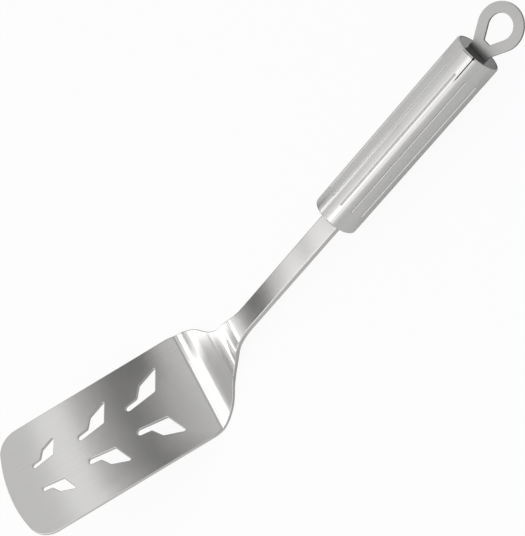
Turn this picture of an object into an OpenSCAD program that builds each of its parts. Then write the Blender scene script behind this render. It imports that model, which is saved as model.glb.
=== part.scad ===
// Slotted turner (fish spatula) of stainless steel, with a round hollow handle and a hanging loop
// that swivels about the handle's axis. Millimetres, +Z up, shown as it lies on a table: the heel
// of the blade and the handle's lower mouth touch the table, and the blade's front edge is raised.

/* [Blade] */
// width of the blade between its parallel sides
blade_w = 57.8; // [48:0.2:70]
// length of the flat blade from the heel to the front edge
blade_l = 100.2; // [94:0.2:125]
// thickness of the flat blade
blade_t = 1.6; // [1:0.05:2]
// radius of the slightly curved front edge
front_r = 72; // [50:1:200]
// radius of the two front corners
corner_r = 12; // [4:0.5:16]

/* [Slots] */
// distance between the three rows of slots
slot_pitch = 28.3; // [24:0.1:30]
// distance from the heel to the tips of the rearmost slots
slot_back = 13.7; // [8:0.1:20]
// distance from the blade's middle line to the slots' straight edges
slot_side = 5.3; // [3:0.1:7]
// size of the middle slots, as a share of the rearmost ones
slot_mid = 0.88; // [0.75:0.01:1]
// size of the front slots, as a share of the rearmost ones
slot_front = 0.7; // [0.6:0.01:0.9]

/* [Shoulder and stem] */
// radius of the bend at the heel, on the top face
heel_r = 4; // [2:0.5:8]
// angle of the shoulder to the blade, right after the bend at the heel
heel_turn = 28; // [22:0.5:32]
// angle of the shoulder to the blade, at the end of its hollow
shoulder_turn = 34.6; // [33:0.1:40]
// radius of the shoulder's hollow between those two angles
sweep_r = 80; // [40:1:100]
// angle of the handle to the blade
handle_tilt = 30.15; // [24:0.05:34]
// straight length of the shoulder after its hollow
shoulder_l = 6.3; // [2:0.1:12]
// radius of the bend that rises from the shoulder towards the stem
joggle_r = 30; // [18:0.5:40]
// radius of the bend at the neck that leads from there into the stem
neck_r = 16; // [8:0.5:40]
// steepest angle between those two bends, measured from the handle's axis
joggle_turn = 25.5; // [16:0.5:30]
// where the sides begin to narrow, ahead of the heel
narrow_start = 5.4; // [2:0.1:9]
// angle of the sides where they narrow fastest
narrow_turn = 60; // [50:1:64]
// radius of the shoulder's rounded sides
shoulder_r = 22; // [16:0.5:26]
// width of the stem
stem_w = 10.6; // [8:0.1:12]
// thickness of the stem
stem_t = 2.6; // [2:0.1:3.2]
// height of the stem's top face above the handle's axis
stem_rise = 0.95; // [0.6:0.05:1.6]
// length of the stem between its last bend and the handle
stem_l = 73.2; // [40:0.5:120]
// length of the stem inside the handle
tang_l = 9; // [7:0.5:20]

/* [Handle] */
// outer diameter of the tube
tube_d = 21; // [18:0.5:26]
// wall of the tube
tube_wall = 0.8; // [0.6:0.05:1]
// length of the tube
tube_l = 94.4; // [80:1:140]
// number of grooves round the tube
groove_count = 12; // [6:1:16]
// width of a groove
groove_w = 0.9; // [0.6:0.1:1.4]
// depth of a groove
groove_depth = 0.3; // [0.15:0.05:0.4]
// plain length at each end of the tube, up to the grooves
groove_margin = 9.7; // [7:0.1:20]
// thickness of the disc that closes the lower mouth
front_plug_t = 1.2; // [0.8:0.1:2]
// depth of that disc behind the mouth's edge
front_plug_in = 0.8; // [0.5:0.1:2]
// thickness of the bearing disc in the upper end
rear_plug_t = 3; // [2:0.1:4]
// length of the collars by which both discs are pressed into the tube
collar_l = 5; // [3:0.5:8]

/* [Swivel] */
// angle of the loop to the blade's level, turned about the handle's axis
loop_turn = 16.3; // [-90:0.1:90]
// thickness of the polished end disc
cap_t = 1.5; // [1.2:0.1:2.5]
// diameter of the spigot that turns in the bearing disc
spigot_d = 7.9; // [7:0.1:9]
// radial clearance of the spigot in its bore
spigot_fit = 0.05; // [0.02:0.01:0.08]
// gap between the end disc and the tube, and behind the disc
cap_gap = 0.2; // [0.15:0.05:0.4]
// diameter of the spigot's neck, which holds the retaining ring
neck_d = 6; // [5:0.1:6.4]
// outer diameter of the retaining ring
ring_d = 11; // [9.5:0.5:13]
// thickness of the retaining ring
ring_t = 1; // [0.6:0.1:1.5]
// length of the spigot's end behind the ring
spigot_end = 1; // [0.8:0.1:2]

/* [Hanging loop] */
// thickness of the loop's plate
loop_t = 1.3; // [1:0.1:1.6]
// radius of the loop's round end
loop_r = 10.2; // [8:0.1:14]
// radius of the eye's round end
eye_r = 5.6; // [4.5:0.1:7]
// height of the round end's centre above the end disc
loop_h = 13.9; // [12:0.1:20]
// angle of the loop's flanks to its middle line
flank_turn = 29; // [22:0.5:31]
// width of the loop's foot
foot_w = 9.9; // [8:0.1:11]
// height of the eye's narrow end above the end disc
eye_foot = 5.4; // [4:0.1:7]
// width of the gap in the end disc that the foot stands in
foot_gap = 2.3; // [1.8:0.1:2.8]
// width of the tongue that holds the loop in the spigot
tongue_w = 5; // [4:0.1:5.4]
// length of that tongue below the end disc
tongue_l = 3; // [2:0.1:4]

/* [Hidden] */
$fn = 96;
eps = 0.01;
far = 400;
steel = [0.74, 0.75, 0.76];
polished = [0.85, 0.86, 0.87];

// corners of a rearmost slot from its tip's level and its straight edge: x, y, corner radius
leaf = [[-21, 0, 1.5], [-5.3, 2.2, 1], [0, 13.8, 0.7], [-10.7, 9.5, 1.2], [-14.4, 4.1, 1.5], [-21, 3.2, 1.5]];
leaf_steps = 5;
front_steps = 8;
corner_steps = 18;
side_steps = 16;
bend_steps = 12;
slot_scales = [1, slot_mid, slot_front];

// plan of the shoulder: the rounded sides run into hollow ones where the sides are steepest
side_drop = (blade_w - stem_w) / 2;
hollow_r = side_drop / (1 - cos(narrow_turn)) - shoulder_r;
corner_start = 90 - asin((blade_w / 2 - corner_r) / (front_r - corner_r));
front_end = arc_end([-blade_l, 0], -front_r, 90, corner_start);
narrow_from = [-narrow_start, blade_w / 2];
narrow_mid = arc_end(narrow_from, -shoulder_r, 0, -narrow_turn);
side_line = concat(
    arc([-blade_l, 0], -front_r, 90, corner_start, front_steps),
    arc(front_end, -corner_r, corner_start, 0, corner_steps),
    arc(narrow_from, -shoulder_r, 0, -narrow_turn, side_steps),
    arc(narrow_mid, hollow_r, -narrow_turn, 0, side_steps),
    [[far, stem_w / 2]]
);

// side view of the steel strip: ends of its bends on the top face, from the heel's start
heel_end = arc_end([0, 0], heel_r, 0, heel_turn);
sweep_end = arc_end(heel_end, sweep_r, heel_turn, shoulder_turn);
shoulder_end = sweep_end + shoulder_l * [cos(shoulder_turn), sin(shoulder_turn)];
steep = handle_tilt + joggle_turn;
joggle_mid = arc_end(shoulder_end, joggle_r, shoulder_turn, steep);
stem_start = arc_end(joggle_mid, -neck_r, steep, handle_tilt);
strip_end = stem_start + (stem_l + tang_l) * [cos(handle_tilt), sin(handle_tilt)];

// the strip grows from the blade's thickness to the stem's along the shoulder
sweep_l = sweep_r * (shoulder_turn - heel_turn) * PI / 180;
sweep_t = blade_t + (stem_t - blade_t) * sweep_l / (sweep_l + shoulder_l);

// stations along the strip's top face: point, direction and thickness
stations = concat(
    [[[-blade_l, 0], 0, blade_t]],
    bend([0, 0], heel_r, 0, heel_turn, blade_t, blade_t),
    bend(heel_end, sweep_r, heel_turn, shoulder_turn, blade_t, sweep_t),
    bend(shoulder_end, joggle_r, shoulder_turn, steep, stem_t, stem_t),
    bend(joggle_mid, -neck_r, steep, handle_tilt, stem_t, stem_t),
    [[strip_end, handle_tilt, stem_t]]
);

// the handle's lower end on its axis
along = [cos(handle_tilt), sin(handle_tilt)];
upward = [-sin(handle_tilt), cos(handle_tilt)];
mouth = stem_start + stem_l * along - stem_rise * upward;
tube_r = tube_d / 2;
bore_r = tube_r - tube_wall;
plug_back = front_plug_in + front_plug_t;
cap_r = bore_r - cap_gap;
spigot_r = spigot_d / 2;
bearing_top = tube_l - cap_t - cap_gap;
bearing_low = bearing_top - rear_plug_t;
ring_top = bearing_low - cap_gap;
spigot_low = ring_top - ring_t - spigot_end;

// angle that brings the heel's round underside and the mouth's rounded rim down to one table
heel_under = heel_r + blade_t;
rim_centre = mouth + tube_wall * along - bore_r * upward;
heel_to_rim = rim_centre - [0, heel_r];
rest_turn = atan2(heel_to_rim[1], heel_to_rim[0]) + asin((heel_under - tube_wall) / norm(heel_to_rim));
rest_rise = heel_under - heel_r * cos(rest_turn);

// extent along X as it lies, from the blade's front edge to the loop's round end
slope = handle_tilt - rest_turn;
eye_centre = mouth + (tube_l + loop_h) * along;
round_reach = loop_r * norm([cos(slope), sin(slope) * sin(loop_turn)]);
plate_reach = loop_t / 2 * abs(sin(slope) * cos(loop_turn));
x_high = eye_centre[0] * cos(rest_turn) + eye_centre[1] * sin(rest_turn) + round_reach + plate_reach;
x_low = -blade_l * cos(rest_turn) - blade_t * sin(rest_turn);

// end of an arc that turns from angle a to angle b, with its centre to the left (r > 0) or right
function arc_end(p, r, a, b) = p + r * [sin(b) - sin(a), cos(a) - cos(b)];

// points of that arc after its first one
function arc(p, r, a, b, steps) = [for (k = [1:steps]) arc_end(p, r, a, a + (b - a) * k / steps)];

// stations of a bend in the strip, as its thickness goes from t to u
function bend(p, r, a, b, t, u) = [
    for (k = [0:bend_steps])
        let (c = a + (b - a) * k / bend_steps) [arc_end(p, r, a, c), c, t + (u - t) * k / bend_steps]
];

// outline with each corner rounded: the corner's radius is its third number
function rounded(pts, steps) = [
    for (i = [0:len(pts) - 1])
        let (n = len(pts), p = xy(pts[i]), r = pts[i][2],
             to = unit(p - xy(pts[(i + n - 1) % n])), from = unit(xy(pts[(i + 1) % n]) - p),
             turn = atan2(cross(to, from), to * from), side = sign(turn),
             start = p - to * r * tan(abs(turn) / 2), a = atan2(to[1], to[0]))
            for (k = [0:steps]) arc_end(start, side * r, a, a + turn * k / steps)
];
function xy(p) = [p[0], p[1]];
function unit(v) = v / norm(v);

// the whole tool turned from blade-flat to the way it lies
module as_it_lies() {
    translate([-(x_high + x_low) / 2, 0, rest_rise]) rotate([0, rest_turn, 0]) children();
}

// handle pieces stand on Z and are laid along the handle's axis here
module on_handle() {
    as_it_lies() translate([mouth[0], 0, mouth[1]]) rotate([0, 90 - handle_tilt, 0]) children();
}

module on_swivel() {
    on_handle() rotate([0, 0, loop_turn]) children();
}

// side view of the strip: its top face, and its underside one thickness below each station
module strip_profile() {
    polygon(concat(
        [for (s = stations) s[0]],
        [for (i = [len(stations) - 1:-1:0]) let (s = stations[i]) s[0] + s[2] * [sin(s[1]), -cos(s[1])]]
    ));
}

// plan of the strip: curved front edge, round corners, parallel sides, shoulder and stem
module strip_plan() {
    polygon(concat(side_line, [for (i = [len(side_line) - 1:-1:0]) [side_line[i][0], -side_line[i][1]]]));
}

module slot_plan() {
    for (i = [0:len(slot_scales) - 1], s = [0, 1])
        mirror([0, s, 0]) translate([-slot_back - i * slot_pitch, slot_side])
            scale(slot_scales[i]) polygon(rounded(leaf, leaf_steps));
}

// blade, shoulder and stem, pressed and ground from one strip of steel
module blade() {
    color(steel) as_it_lies() intersection() {
        rotate([90, 0, 0]) linear_extrude(blade_w + 2, center = true) strip_profile();
        linear_extrude(far, center = true) difference() {
            strip_plan();
            slot_plan();
        }
    }
}

// cup that closes the lower mouth, with the slot that the stem is welded in
module front_plug() {
    color(steel) on_handle() difference() {
        translate([0, 0, front_plug_in]) cylinder(r = bore_r, h = front_plug_t + collar_l);
        translate([0, 0, plug_back]) cylinder(r = bore_r - tube_wall, h = far);
        translate([stem_t / 2 - stem_rise, 0, 0]) cube([stem_t, stem_w, far], center = true);
    }
}

module tube_outline() {
    difference() {
        square([tube_r, tube_l]);
        square([bore_r, tube_l]);
        for (z = [0, tube_l]) translate([tube_r - tube_wall, z]) rim_corner(z == 0 ? 1 : -1);
    }
}

// what the rounding takes off the outer corner of the tube's rim
module rim_corner(s) {
    difference() {
        translate([0, s > 0 ? -1 : -tube_wall]) square([2, tube_wall + 1]);
        translate([0, s * tube_wall]) circle(tube_wall);
    }
}

// long groove with round ends, pressed into the tube
module groove() {
    groove_r = (pow(groove_w / 2, 2) + pow(groove_depth, 2)) / (2 * groove_depth);
    end = groove_margin + groove_w / 2;
    translate([tube_r + groove_r - groove_depth, 0, end]) {
        cylinder(r = groove_r, h = tube_l - 2 * end);
        for (z = [0, tube_l - 2 * end]) translate([0, 0, z]) sphere(groove_r);
    }
}

module handle_tube() {
    color(steel) on_handle() difference() {
        rotate_extrude() tube_outline();
        for (i = [0:groove_count - 1]) rotate([0, 0, 180 + i * 360 / groove_count]) groove();
    }
}

// bearing disc in the upper end: the swivel's spigot turns in its bore
module rear_plug() {
    color(steel) on_handle() difference() {
        translate([0, 0, bearing_top - rear_plug_t - collar_l]) cylinder(r = bore_r, h = rear_plug_t + collar_l);
        translate([0, 0, bearing_low - collar_l - 1]) cylinder(r = bore_r - tube_wall, h = collar_l + 1);
        cylinder(r = spigot_r + spigot_fit, h = tube_l);
    }
}

// polished end disc with its spigot, neck for the retaining ring and seats for the loop
module swivel_cap() {
    color(polished) on_swivel() difference() {
        union() {
            translate([0, 0, tube_l - cap_t]) cylinder(r = cap_r, h = cap_t);
            translate([0, 0, ring_top]) cylinder(r = spigot_r, h = tube_l - ring_top - cap_t / 2);
            translate([0, 0, spigot_low + eps]) cylinder(d = neck_d, h = ring_top - spigot_low);
            translate([0, 0, spigot_low]) cylinder(r = spigot_r, h = spigot_end);
        }
        translate([0, 0, tube_l]) cube([foot_gap, foot_w + cap_gap, 2 * cap_t], center = true);
        translate([0, 0, tube_l - cap_t]) cube([loop_t, tongue_w, 2 * tongue_l], center = true);
    }
}

// open ring in the spigot's neck, which keeps the swivel in the handle
module retaining_ring() {
    color(steel) on_swivel() translate([0, 0, ring_top - ring_t]) difference() {
        cylinder(d = ring_d, h = ring_t);
        translate([0, 0, -1]) cylinder(d = neck_d, h = ring_t + 2);
        translate([0, -neck_d * 0.35, -1]) cube([ring_d, neck_d * 0.7, ring_t + 2]);
    }
}

// drop shape: a round end and two flanks that run from it down to half width w at height low
module drop(r, low) {
    touch = [r * cos(flank_turn), loop_h - r * sin(flank_turn)];
    w = touch[0] - (touch[1] - low) * tan(flank_turn);
    translate([0, loop_h]) circle(r);
    polygon([[-w, low], [w, low], touch, [0, loop_h], [-touch[0], touch[1]]]);
}

module loop_plan() {
    difference() {
        union() {
            drop(loop_r, 0);
            translate([-foot_w / 2, -cap_t]) square([foot_w, cap_t + foot_w / 4]);
            translate([-tongue_w / 2, -cap_t - tongue_l]) square([tongue_w, tongue_l + cap_t]);
        }
        drop(eye_r, eye_foot);
    }
}

// stamped hanging loop, seated in the end disc by its foot and tongue
module hanging_loop() {
    color(steel) on_swivel() translate([0, 0, tube_l])
        rotate([90, 0, 90]) linear_extrude(loop_t, center = true) loop_plan();
}

blade();
front_plug();
handle_tube();
rear_plug();
swivel_cap();
retaining_ring();
hanging_loop();
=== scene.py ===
import math

import bmesh
import bpy
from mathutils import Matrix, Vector


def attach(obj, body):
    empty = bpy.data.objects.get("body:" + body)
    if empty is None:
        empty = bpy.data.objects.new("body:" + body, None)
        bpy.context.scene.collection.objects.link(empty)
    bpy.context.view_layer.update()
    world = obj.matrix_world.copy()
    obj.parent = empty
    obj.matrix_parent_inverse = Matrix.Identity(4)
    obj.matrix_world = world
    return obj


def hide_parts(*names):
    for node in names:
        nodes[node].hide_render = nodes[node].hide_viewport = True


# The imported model, which stays as it is
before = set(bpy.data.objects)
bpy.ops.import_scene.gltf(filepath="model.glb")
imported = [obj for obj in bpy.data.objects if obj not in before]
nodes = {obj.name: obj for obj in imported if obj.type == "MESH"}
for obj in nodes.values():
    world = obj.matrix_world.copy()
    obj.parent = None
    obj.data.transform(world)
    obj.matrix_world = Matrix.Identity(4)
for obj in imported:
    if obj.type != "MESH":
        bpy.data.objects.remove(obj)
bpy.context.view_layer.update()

MM = 0.001

# Camera: the spatula lies on the table and is seen from above its right side, turned in the picture
CAMERA_PLACE = (0.29522, -0.39912, 0.54512)
CAMERA_TURN = (13.4087, 41.7534, -34.1254)
CAMERA_LENS = 112.68
SENSOR_WIDTH = 36

# The handle's axis runs through the middle of the tube's rear end and rises by its slope
HANDLE_SLOPE = math.radians(2.56)
TUBE_REAR = (133.7 * MM, 0, 14.7 * MM)
TUBE_RADIUS = 10.5 * MM

# Painted shade in the tube's grooves, and its seam. Each pair says where a mark begins to show and where it
# is full
GROOVE_SHADE_DEPTH = (0.2 * MM, 0.3 * MM)
GROOVE_SHADE_END = (-1 * MM, -2 * MM)
SEAM_ANGLE = math.radians(-38.4)
OPEN_SEAM_ASIDE = (0.3 * MM, 0.14 * MM)
OPEN_SEAM_REACH = (-14 * MM, -10 * MM)
NOTCH_ASIDE = (0.5 * MM, 0.35 * MM)
NOTCH_REACH = (-1.1 * MM, -0.7 * MM)
CLOSED_SEAM_ASIDE = (0.1 * MM, 0.03 * MM)
CLOSED_SEAM_SHARE = 0.35

# Painted shade in the cap's gap that the loop's foot stands in, turned with the loop about the handle's axis
LOOP_TURN = math.radians(16.3)
FOOT_GAP_WIDTH = 10.1 * MM
FOOT_GAP_HEIGHT = 2.3 * MM
GAP_SOFTNESS = 0.05 * MM

# How fast the steel goes from its dark colour to its light one, and what its wiped marks consist of
TONE_CONTRAST = 4.0
BROAD_MARKS_SHARE = 0.7
SMALL_MARKS_SHARE = 0.3

# Darker colours and least roughness: the dark seam, and painted shade in the foot's gap, grooves and cut
# walls
SEAM_AND_SHADE_DARK = (0.02, 0.02, 0.02)
GAP_ROUGHNESS = 0.6
GROOVE_SHADE = (0.54, 0.535, 0.53)
GROOVE_SHADE_ROUGHNESS = 0.45
DULL_AND_SHADED_WALL = (0.22, 0.217, 0.213)
DULL_AND_SHADED_WALL_ROUGHNESS = 0.45

# Rounding of the sharp edges. The strip's upper edges are rounder from the heel on
BLADE_UNDER_ROUND = 0.22 * MM
BLADE_UPPER_ROUND = 0.35 * MM
SHOULDER_UPPER_ROUND = 0.5 * MM
BLADE_UPPER_END = -76 * MM
SHOULDER_UPPER_START = -60 * MM
CAP_ROUND = 0.18 * MM
LOOP_ROUND = 0.16 * MM
WIDEST_ROUND = 0.5 * MM
ROUND_STEPS = 4
SHARP_TURN = math.radians(32)

# Merging of a CAD mesh's loose triangles, and what counts as a top face or a side wall
MERGE_GAP = 0.08 * MM
FLAT_TURN = math.radians(0.9)
TOP_FACE = 0.7
SIDE_WALL = 0.3

# Table and room
FLOOR_SIDE = 24
FLOOR_WHITE = 0.75
FLOOR_SEEN_GLOW = 0.93
FLOOR_MIRRORED_GLOW = 0.1
ROOM_GREY = 0.82
ROOM_DARK_SIDE = 0.72
ROOM_DARK_Y = -1.0
ROOM_GREY_Y = 0.3

# Most lamps and cards stand on an arch over the fold at the blade's heel or on arches over the handle
FOLD_X = -0.066
FOLD_Z = 0.002
FOLD_ARCH = 0.512
HANDLE_LAMP_X = -0.14
HANDLE_LAMP_LENGTH = 0.34
CARD_GREY = 0.03

# Watts that a square metre of a lamp's face needs for a glow of 1
FACE_WATTS = 4


def make_camera():
    """The camera of the photograph, a long lens at about 0.7 m."""
    data = bpy.data.cameras.new("photo_camera")
    data.sensor_width = SENSOR_WIDTH
    data.lens = CAMERA_LENS
    data.clip_start = 0.01
    data.clip_end = 100
    camera = bpy.data.objects.new("photo_camera", data)
    camera.location = CAMERA_PLACE
    camera.rotation_euler = [math.radians(turn) for turn in CAMERA_TURN]
    bpy.context.scene.collection.objects.link(camera)
    bpy.context.scene.camera = camera


# Shader nodes

def maths(tree, operation, first, second=0.0, clamp=False):
    """A Math node whose two inputs are sockets or plain numbers."""
    node = tree.nodes.new("ShaderNodeMath")
    node.operation = operation
    node.use_clamp = clamp
    for socket, value in zip(node.inputs, (first, second)):
        if isinstance(value, bpy.types.NodeSocket):
            tree.links.new(value, socket)
        else:
            socket.default_value = value
    return node.outputs["Value"]


def between(tree, factor, low, high):
    """A value from low to high as the factor goes from 0 to 1."""
    return maths(tree, "ADD", maths(tree, "MULTIPLY", factor, high - low), low)


def faded(tree, value, first, last):
    """0 up to the first value and 1 from the last one on, soft between them. It also runs downward."""
    ramp = tree.nodes.new("ShaderNodeMapRange")
    ramp.interpolation_type = "SMOOTHSTEP"
    ramp.inputs["From Min"].default_value = first
    ramp.inputs["From Max"].default_value = last
    tree.links.new(value, ramp.inputs["Value"])
    return ramp.outputs["Result"]


def blended(tree, factor, first, second):
    """A colour from the first to the second as the factor goes from 0 to 1. Each is a socket or a colour."""
    blend = tree.nodes.new("ShaderNodeMix")
    blend.data_type = "RGBA"
    tree.links.new(factor, blend.inputs["Factor"])
    for socket, colour in ((blend.inputs["A"], first), (blend.inputs["B"], second)):
        if isinstance(colour, bpy.types.NodeSocket):
            tree.links.new(colour, socket)
        else:
            socket.default_value = (*colour, 1)
    return blend.outputs["Result"]


def split_place(tree, place):
    """The X, Y and Z of a place, as three sockets."""
    split = tree.nodes.new("ShaderNodeSeparateXYZ")
    tree.links.new(place, split.inputs["Vector"])
    return split.outputs["X"], split.outputs["Y"], split.outputs["Z"]


def turned_place(tree, turn, centre=(0, 0, 0)):
    """Object coordinates moved to a centre and turned so that their X runs along a finish's lines."""
    source = tree.nodes.new("ShaderNodeTexCoord")
    mapping = tree.nodes.new("ShaderNodeMapping")
    mapping.vector_type = "TEXTURE"
    mapping.inputs["Location"].default_value = centre
    mapping.inputs["Rotation"].default_value = turn
    tree.links.new(source.outputs["Object"], mapping.inputs["Vector"])
    return mapping.outputs["Vector"]


def noise(tree, place, scale, detail, rough):
    """A noise texture's value from 0 to 1 at a place."""
    node = tree.nodes.new("ShaderNodeTexNoise")
    node.inputs["Scale"].default_value = scale
    node.inputs["Detail"].default_value = detail
    node.inputs["Roughness"].default_value = rough
    tree.links.new(place, node.inputs["Vector"])
    return node.outputs["Fac"]


def new_group(name, inputs, outputs):
    """An empty shader node group with its named sockets, its input node and its output node."""
    tree = bpy.data.node_groups.new(name, "ShaderNodeTree")
    for label, kind, value in inputs:
        socket = tree.interface.new_socket(name=label, in_out="INPUT", socket_type=kind)
        if value is not None:
            socket.default_value = value
    for label, kind in outputs:
        tree.interface.new_socket(name=label, in_out="OUTPUT", socket_type=kind)
    entry = tree.nodes.new("NodeGroupInput")
    result = tree.nodes.new("NodeGroupOutput")
    return tree, entry, result


def brushing_group():
    """Fine lines left by a belt: a height for the bump, and a slower tone for the colour.

    The lines run along X. The Length Share stretches them, and at a Depth Share of 0 they
    stay the same all the way down, whatever the slope of the surface.
    """
    tree, entry, result = new_group(
        "fine_brushing",
        [
            ("Vector", "NodeSocketVector", None),
            ("Lines Per Metre", "NodeSocketFloat", 5000.0),
            ("Length Share", "NodeSocketFloat", 0.012),
            ("Depth Share", "NodeSocketFloat", 1.0),
        ],
        [("Height", "NodeSocketFloat"), ("Tone", "NodeSocketFloat")],
    )
    along, across, above = split_place(tree, entry.outputs["Vector"])
    lines = entry.outputs["Lines Per Metre"]
    long_lines = maths(tree, "MULTIPLY", lines, entry.outputs["Length Share"])
    deep_lines = maths(tree, "MULTIPLY", lines, entry.outputs["Depth Share"])
    stretched = tree.nodes.new("ShaderNodeCombineXYZ")
    tree.links.new(maths(tree, "MULTIPLY", along, long_lines), stretched.inputs["X"])
    tree.links.new(maths(tree, "MULTIPLY", across, lines), stretched.inputs["Y"])
    tree.links.new(maths(tree, "MULTIPLY", above, deep_lines), stretched.inputs["Z"])
    place = stretched.outputs["Vector"]
    tree.links.new(noise(tree, place, scale=1.0, detail=3.0, rough=0.6), result.inputs["Height"])
    tree.links.new(noise(tree, place, scale=0.17, detail=2.0, rough=0.55), result.inputs["Tone"])
    return tree


def handling_group():
    """Soft cloudy marks of wiping and fingers, from 0 to 1."""
    tree, entry, result = new_group(
        "wiped_marks",
        [("Vector", "NodeSocketVector", None), ("Marks Per Metre", "NodeSocketFloat", 60.0)],
        [("Marks", "NodeSocketFloat")],
    )
    scaled = tree.nodes.new("ShaderNodeVectorMath")
    scaled.operation = "SCALE"
    tree.links.new(entry.outputs["Vector"], scaled.inputs[0])
    tree.links.new(entry.outputs["Marks Per Metre"], scaled.inputs["Scale"])
    place = scaled.outputs["Vector"]
    broad = noise(tree, place, scale=1.0, detail=4.0, rough=0.55)
    small = noise(tree, place, scale=7.0, detail=3.0, rough=0.6)
    broad_part = maths(tree, "MULTIPLY", broad, BROAD_MARKS_SHARE)
    small_part = maths(tree, "MULTIPLY", small, SMALL_MARKS_SHARE)
    tree.links.new(maths(tree, "ADD", broad_part, small_part), result.inputs["Marks"])
    return tree


GROUPS = {"brushing": brushing_group(), "marks": handling_group()}


def placed_group(tree, kind, place):
    """A group node in a material, fed with a place."""
    node = tree.nodes.new("ShaderNodeGroup")
    node.node_tree = GROUPS[kind]
    tree.links.new(place, node.inputs["Vector"])
    return node


# Finishes

def steel(name, light, dark, gloss, line_depth, turn=(0, 0, 0), depth_share=1.0):
    """Brushed stainless steel between two close colours. The gloss is its least and its most roughness."""
    material = bpy.data.materials.new(name)
    material.use_nodes = True
    tree = material.node_tree
    shader = tree.nodes["Principled BSDF"]
    shader.inputs["Metallic"].default_value = 1.0
    place = turned_place(tree, turn)
    brushed = placed_group(tree, "brushing", place)
    brushed.inputs["Depth Share"].default_value = depth_share
    marks = placed_group(tree, "marks", place).outputs["Marks"]
    tone = maths(tree, "MULTIPLY", brushed.outputs["Tone"], marks)
    lightness = maths(tree, "MULTIPLY", tone, TONE_CONTRAST, clamp=True)
    tree.links.new(blended(tree, lightness, dark, light), shader.inputs["Base Color"])
    tree.links.new(between(tree, marks, *gloss), shader.inputs["Roughness"])
    bump = tree.nodes.new("ShaderNodeBump")
    bump.inputs["Strength"].default_value = 1.0
    bump.inputs["Distance"].default_value = line_depth
    tree.links.new(brushed.outputs["Height"], bump.inputs["Height"])
    tree.links.new(bump.outputs["Normal"], shader.inputs["Normal"])
    return material


def darken(material, mask, colour, roughness):
    """Gives a material another colour and at least some roughness where the mask is 1."""
    tree = material.node_tree
    shader = tree.nodes["Principled BSDF"]
    steel_colour = shader.inputs["Base Color"].links[0].from_socket
    steel_roughness = shader.inputs["Roughness"].links[0].from_socket
    tree.links.new(blended(tree, mask, steel_colour, colour), shader.inputs["Base Color"])
    rougher = maths(tree, "MULTIPLY", mask, roughness)
    tree.links.new(maths(tree, "MAXIMUM", steel_roughness, rougher), shader.inputs["Roughness"])


def dull_and_shade_cut_walls(material):
    """The cut walls of a stamped plate are duller than its faces, and darkened with painted shade."""
    walls = material.node_tree.nodes.new("ShaderNodeAttribute")
    walls.attribute_name = "cut_edge"
    darken(material, walls.outputs["Fac"], DULL_AND_SHADED_WALL, DULL_AND_SHADED_WALL_ROUGHNESS)


def paint_foot_gap_shade(material):
    """Painted shade in the gap that the loop's foot stands in, dark and dull."""
    tree = material.node_tree
    place = turned_place(tree, (LOOP_TURN, -HANDLE_SLOPE, 0), TUBE_REAR)
    across, above = split_place(tree, place)[1:]
    half_width = FOOT_GAP_WIDTH / 2
    half_height = FOOT_GAP_HEIGHT / 2
    in_width = faded(tree, maths(tree, "ABSOLUTE", across), half_width + GAP_SOFTNESS, half_width)
    in_height = faded(tree, maths(tree, "ABSOLUTE", above), half_height + GAP_SOFTNESS, half_height)
    darken(material, maths(tree, "MULTIPLY", in_width, in_height), SEAM_AND_SHADE_DARK, GAP_ROUGHNESS)


def mark_handle_tube(material):
    """The tube's grooves are darkened at their bottoms as painted shade, and a dark seam runs in from its
    rear rim.
    """
    tree = material.node_tree
    place = turned_place(tree, (0, -HANDLE_SLOPE, 0), TUBE_REAR)
    along, across, above = split_place(tree, place)
    outward = tree.nodes.new("ShaderNodeCombineXYZ")
    tree.links.new(across, outward.inputs["Y"])
    tree.links.new(above, outward.inputs["Z"])
    length = tree.nodes.new("ShaderNodeVectorMath")
    length.operation = "LENGTH"
    tree.links.new(outward.outputs["Vector"], length.inputs[0])
    radius = length.outputs["Value"]
    # Painted shade: the bottoms of the grooves are darkened
    sunk = faded(tree, radius, *(TUBE_RADIUS - depth for depth in GROOVE_SHADE_DEPTH))
    groove = maths(tree, "MULTIPLY", sunk, faded(tree, along, *GROOVE_SHADE_END))
    darken(material, groove, GROOVE_SHADE, GROOVE_SHADE_ROUGHNESS)
    around = maths(tree, "ARCTAN2", across, above)
    offset = maths(tree, "ABSOLUTE", maths(tree, "SUBTRACT", around, SEAM_ANGLE))
    aside = maths(tree, "MULTIPLY", offset, TUBE_RADIUS)
    near_seam = faded(tree, aside, *OPEN_SEAM_ASIDE)
    open_seam = maths(tree, "MULTIPLY", near_seam, faded(tree, along, *OPEN_SEAM_REACH))
    near_notch = faded(tree, aside, *NOTCH_ASIDE)
    notch = maths(tree, "MULTIPLY", near_notch, faded(tree, along, *NOTCH_REACH))
    closed_seam = maths(tree, "MULTIPLY", faded(tree, aside, *CLOSED_SEAM_ASIDE), CLOSED_SEAM_SHARE)
    seam = maths(tree, "MAXIMUM", maths(tree, "MAXIMUM", open_seam, notch), closed_seam)
    darken(material, seam, SEAM_AND_SHADE_DARK, GAP_ROUGHNESS)


def blade_steel():
    """Satin steel, ground along the blade."""
    return steel(
        "satin_blade_steel",
        light=(0.61, 0.605, 0.595),
        dark=(0.57, 0.565, 0.555),
        gloss=(0.08, 0.12),
        line_depth=0.001 * MM,
        depth_share=0.0,
    )


def handle_steel():
    """Softly polished steel, brushed along the handle's axis."""
    material = steel(
        "polished_handle_steel",
        light=(0.6, 0.595, 0.59),
        dark=(0.52, 0.515, 0.51),
        gloss=(0.23, 0.29),
        line_depth=0.0015 * MM,
        turn=(0, -HANDLE_SLOPE, 0),
    )
    mark_handle_tube(material)
    return material


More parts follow.
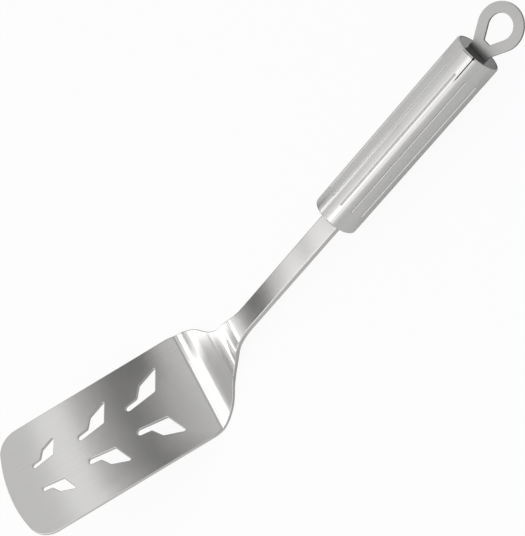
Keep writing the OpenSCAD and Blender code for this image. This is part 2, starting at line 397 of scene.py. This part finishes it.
def cap_steel_painted_dark():
    """Mirror polish, with a painted dark reflection for its colour: the tone that such a disc shows against
    a pale table.
    """
    material = steel(
        "mirror_cap_painted_dark",
        # These colours are a painted dark reflection, far darker than the steel's own tone
        light=(0.25, 0.25, 0.25),
        dark=(0.22, 0.22, 0.22),
        gloss=(0.05, 0.09),
        line_depth=0.0005 * MM,
    )
    # Painted shade in the gap around the loop's foot
    paint_foot_gap_shade(material)
    return material


def loop_steel():
    """A matt stamped plate."""
    material = steel(
        "matt_loop_steel",
        light=(0.52, 0.515, 0.51),
        dark=(0.46, 0.455, 0.45),
        gloss=(0.28, 0.38),
        line_depth=0.002 * MM,
    )
    # Its cut walls are duller, and painted shade darkens them
    dull_and_shade_cut_walls(material)
    return material


def plug_steel():
    """Plain turned steel, inside the handle."""
    return steel(
        "plain_plug_steel",
        light=(0.5, 0.5, 0.5),
        dark=(0.42, 0.42, 0.42),
        gloss=(0.3, 0.4),
        line_depth=0.001 * MM,
    )


# Pieces

def blade_round(place, faces_up):
    """The strip's rounding: even on its lower edges, and wider from the heel on along its upper ones."""
    if not faces_up:
        return BLADE_UNDER_ROUND
    share = (place.x - BLADE_UPPER_END) / (SHOULDER_UPPER_START - BLADE_UPPER_END)
    share = min(max(share, 0.0), 1.0)
    return BLADE_UPPER_ROUND + (SHOULDER_UPPER_ROUND - BLADE_UPPER_ROUND) * share


def even_round(width):
    """The same rounding on every sharp edge."""
    return lambda place, faces_up: width


def merged_shape(mesh):
    """A CAD mesh's triangles joined into one closed shape of flat faces."""
    shape = bmesh.new()
    shape.from_mesh(mesh)
    bmesh.ops.remove_doubles(shape, verts=shape.verts, dist=MERGE_GAP)
    bmesh.ops.dissolve_limit(shape, angle_limit=FLAT_TURN, verts=shape.verts, edges=shape.edges)
    bmesh.ops.recalc_face_normals(shape, faces=shape.faces)
    return shape


def ease_edges(piece):
    """Rounds the piece's edges, each by its own weight."""
    eased = piece.modifiers.new("eased_edges", "BEVEL")
    eased.width = WIDEST_ROUND
    eased.limit_method = "WEIGHT"
    eased.segments = ROUND_STEPS
    eased.profile = 0.5
    eased.use_clamp_overlap = False
    eased.harden_normals = True


def finished_copy(node, name, rounding, body, material):
    """A CAD node's shape with its sharp edges eased and its faces smooth, as it leaves the polishing."""
    mesh = nodes[node].data.copy()
    mesh.name = name
    mesh.materials.clear()
    shape = merged_shape(mesh)
    weight = shape.edges.layers.float.new("bevel_weight_edge")
    cut_edge = shape.faces.layers.float.new("cut_edge")
    for edge in shape.edges:
        if len(edge.link_faces) == 2 and edge.calc_face_angle() > SHARP_TURN:
            middle = 0.5 * (edge.verts[0].co + edge.verts[1].co)
            faces_up = max(face.normal.z for face in edge.link_faces) > TOP_FACE
            edge[weight] = rounding(middle, faces_up) / WIDEST_ROUND
    for face in shape.faces:
        face.smooth = True
        face[cut_edge] = 1.0 if abs(face.normal.z) < SIDE_WALL else 0.0
    shape.to_mesh(mesh)
    shape.free()
    if mesh.attributes.get("custom_normal"):
        mesh.attributes.remove(mesh.attributes["custom_normal"])
    piece = bpy.data.objects.new(name, mesh)
    bpy.context.scene.collection.objects.link(piece)
    piece.data.materials.append(material)
    ease_edges(piece)
    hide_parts(node)
    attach(piece, body)


def dress(node, material):
    """Gives a CAD node, which keeps its own mesh, its finish."""
    for material_slot in nodes[node].material_slots:
        material_slot.material = material


def make_pieces():
    """The three pieces with eased edges, and the four that keep their CAD mesh."""
    finished_copy("blade", "slotted_blade", blade_round, "handle", blade_steel())
    dress("handle_tube", handle_steel())
    cap_round = even_round(CAP_ROUND)
    finished_copy("swivel_cap", "end_cap", cap_round, "swivel", cap_steel_painted_dark())
    loop_round = even_round(LOOP_ROUND)
    finished_copy("hanging_loop", "hanging_ring", loop_round, "swivel", loop_steel())
    inner_steel = plug_steel()
    for node in ("front_plug", "rear_plug", "retaining_ring"):
        dress(node, inner_steel)


# Table, room and light

def matt_paint(name, grey):
    """A dull even grey, without any gloss."""
    material = bpy.data.materials.new(name)
    material.use_nodes = True
    shader = material.node_tree.nodes["Principled BSDF"]
    shader.inputs["Base Color"].default_value = (grey, grey, grey, 1)
    shader.inputs["Roughness"].default_value = 1.0
    shader.inputs["Specular IOR Level"].default_value = 0.0
    return material


def flat_board(name, width, depth, material):
    """A flat board that belongs to the stage, its middle at its own origin."""
    mesh = bpy.data.meshes.new(name)
    shape = bmesh.new()
    bmesh.ops.create_grid(shape, x_segments=1, y_segments=1, size=0.5)
    bmesh.ops.scale(shape, vec=(width, depth, 1), verts=shape.verts)
    shape.to_mesh(mesh)
    shape.free()
    mesh.materials.append(material)
    board = bpy.data.objects.new(name, mesh)
    bpy.context.scene.collection.objects.link(board)
    return board


def make_floor():
    """A plain table top with a soft shadow. Camera and glass see it white, gloss a little lighter."""
    material = matt_paint("white_table", FLOOR_WHITE)
    tree = material.node_tree
    glow = tree.nodes.new("ShaderNodeEmission")
    glow.inputs["Strength"].default_value = 1.0
    path = tree.nodes.new("ShaderNodeLightPath")
    seen = maths(tree, "MAXIMUM", path.outputs["Is Camera Ray"], path.outputs["Is Transmission Ray"])
    seen = maths(tree, "MULTIPLY", seen, FLOOR_SEEN_GLOW)
    mirrored = maths(tree, "MULTIPLY", path.outputs["Is Glossy Ray"], FLOOR_MIRRORED_GLOW)
    mix = tree.nodes.new("ShaderNodeMixShader")
    tree.links.new(maths(tree, "MAXIMUM", seen, mirrored), mix.inputs["Fac"])
    tree.links.new(tree.nodes["Principled BSDF"].outputs["BSDF"], mix.inputs[1])
    tree.links.new(glow.outputs["Emission"], mix.inputs[2])
    tree.links.new(mix.outputs["Shader"], tree.nodes["Material Output"].inputs["Surface"])
    flat_board("table_top", FLOOR_SIDE, FLOOR_SIDE, material)


def make_world():
    """A pale grey room, a little darker on the side that the camera stands on."""
    world = bpy.data.worlds.new("pale_room")
    world.use_nodes = True
    tree = world.node_tree
    place = tree.nodes.new("ShaderNodeTexCoord").outputs["Generated"]
    lightness = faded(tree, split_place(tree, place)[1], ROOM_DARK_Y, ROOM_GREY_Y)
    background = tree.nodes["Background"]
    background.inputs["Strength"].default_value = 1.0
    grey = between(tree, lightness, ROOM_DARK_SIDE, ROOM_GREY)
    tree.links.new(grey, background.inputs["Color"])
    bpy.context.scene.world = world


def aim(piece, place, target):
    """Puts a lamp or a card at a place and points it at another."""
    piece.location = place
    piece.rotation_mode = "QUATERNION"
    piece.rotation_quaternion = (Vector(target) - Vector(place)).to_track_quat("-Z", "Y")


def softbox(name, place, target, width, depth, glow):
    """A soft lamp with a plain even face, whose glow is added to the room's own level behind it."""
    data = bpy.data.lights.new(name, "AREA")
    data.shape = "RECTANGLE"
    data.size = width
    data.size_y = depth
    data.energy = FACE_WATTS * width * depth * glow
    lamp = bpy.data.objects.new(name, data)
    lamp.visible_camera = False
    aim(lamp, place, target)
    bpy.context.scene.collection.objects.link(lamp)


def card(name, place, target, width, depth, grey, core):
    """A dull card that steel mirrors as a dark band. Along its depth it fades out from its core."""
    material = matt_paint(name, grey)
    tree = material.node_tree
    source = tree.nodes.new("ShaderNodeTexCoord")
    across = maths(tree, "ABSOLUTE", split_place(tree, source.outputs["Object"])[1])
    fade = tree.nodes.new("ShaderNodeMapRange")
    fade.inputs["From Min"].default_value = core * depth / 2
    fade.inputs["From Max"].default_value = depth / 2
    fade.inputs["To Min"].default_value = 1.0
    fade.inputs["To Max"].default_value = 0.0
    tree.links.new(across, fade.inputs["Value"])
    tree.links.new(fade.outputs["Result"], tree.nodes["Principled BSDF"].inputs["Alpha"])
    board = flat_board(name, width, depth, material)
    board.visible_camera = False
    board.visible_shadow = False
    board.visible_diffuse = False
    aim(board, place, target)


def over_fold(turns, left):
    """Place, target, width and depth of a lamp or card on the arch over the heel's fold.

    The turns are those of its two ends, in degrees from straight up toward the tip. Left
    says how far to the left its two sides are.
    """
    first, last = turns
    angle = math.radians(0.5 * (first + last))
    middle = 0.5 * (left[0] + left[1])
    place = (FOLD_X - FOLD_ARCH * math.sin(angle), middle, FOLD_Z + FOLD_ARCH * math.cos(angle))
    target = (FOLD_X, middle, FOLD_Z)
    return place, target, left[1] - left[0], FOLD_ARCH * math.radians(last - first)


def fold_softbox(name, turns, left, glow):
    """A softbox on the arch over the heel's fold."""
    softbox(name, *over_fold(turns, left), glow)


def fold_card(name, turns, left, grey, core):
    """A card on the arch over the heel's fold."""
    card(name, *over_fold(turns, left), grey, core)


def handle_softbox(name, turns, reach, glow):
    """A softbox at some reach over the handle, between two turns from straight up toward the right."""
    first, last = turns
    angle = math.radians(0.5 * (first + last))
    place = (HANDLE_LAMP_X, -reach * math.sin(angle), reach * math.cos(angle))
    depth = 2 * reach * math.tan(math.radians(last - first) / 2)
    softbox(name, place, (HANDLE_LAMP_X, 0, 0), HANDLE_LAMP_LENGTH, depth, glow)


def light_blade():
    """White and grey bands for the strip to mirror, a dark card for its left edge, light for its rims."""
    fold_softbox("panel_heel", turns=(11, 27.8), left=(0.24, 0.335), glow=1.5)
    fold_softbox("panel_shoulder", turns=(33.2, 37.6), left=(0.25, 0.385), glow=1.2)
    fold_softbox("panel_shoulder_right", turns=(37.6, 41.6), left=(0.25, 0.333), glow=1.2)
    fold_softbox("panel_margin_front", turns=(41.6, 44.8), left=(0.334, 0.42), glow=1.1)
    fold_softbox("panel_margin_left", turns=(44.8, 47.6), left=(0.3465, 0.42), glow=1.0)
    fold_softbox("panel_neck", turns=(71, 92), left=(0.27, 0.4), glow=1.1)
    fold_softbox("panel_neck_left", turns=(47.6, 71), left=(0.345, 0.42), glow=1.1)
    fold_softbox("panel_stem", turns=(20.5, 26.5), left=(0.335, 0.4), glow=0.35)
    fold_softbox("panel_front", turns=(-9.5, -6), left=(0.2, 0.42), glow=0.25)
    fold_card("band_card", turns=(-20.4, -9.0), left=(0.15, 0.47), grey=0.33, core=0.05)
    fold_card("corner_card", turns=(-19.0, -15.2), left=(0.336, 0.43), grey=0.26, core=0.6)
    fold_card("stem_card", turns=(28.2, 32.9), left=(0.27, 0.43), grey=0.15, core=0.6)
    fold_card("stem_card_rear", turns=(22.9, 24.8), left=(0.33, 0.42), grey=0.35, core=0.0)
    fold_card("wedge_card", turns=(38, 41.6), left=(0.345, 0.43), grey=0.3, core=0.8)
    fold_card("shoulder_card", turns=(43, 51), left=(0.2, 0.35), grey=0.8, core=0.6)
    fold_card("shoulder_card_low", turns=(50, 64), left=(0.2, 0.337), grey=0.7, core=0.6)
    card(
        "edge_card_left",
        place=(-0.08, 0.12, 0.04),
        target=(-0.08, 0, 0.04),
        width=0.13,
        depth=0.1,
        grey=CARD_GREY,
        core=0.9,
    )
    softbox(
        "panel_rim_shoulder",
        place=(-0.03, -0.25, 0.58),
        target=(-0.05, 0, 0),
        width=0.4,
        depth=0.16,
        glow=0.25,
    )
    softbox(
        "panel_rim",
        place=(-0.43, -0.18, 0.55),
        target=(-0.05, 0, 0),
        width=0.5,
        depth=0.18,
        glow=1.2,
    )


def light_handle():
    """A soft highlight along the handle, and a dark card for the loop, whose image shows in the cap."""
    card(
        "loop_card",
        place=(0.32, 0.05, 0.6),
        target=(0.14, 0, 0.014),
        width=0.4,
        depth=0.4,
        grey=CARD_GREY,
        core=0.8,
    )
    handle_softbox("panel_handle_low", turns=(20, 50), reach=0.56, glow=0.06)
    handle_softbox("panel_handle_middle", turns=(15, 50), reach=0.6, glow=0.35)
    handle_softbox("panel_handle_wide", turns=(-12, 52), reach=0.64, glow=0.2)


bpy.context.scene.view_settings.view_transform = "Standard"
make_camera()
make_pieces()
make_floor()
make_world()
light_blade()
light_handle()
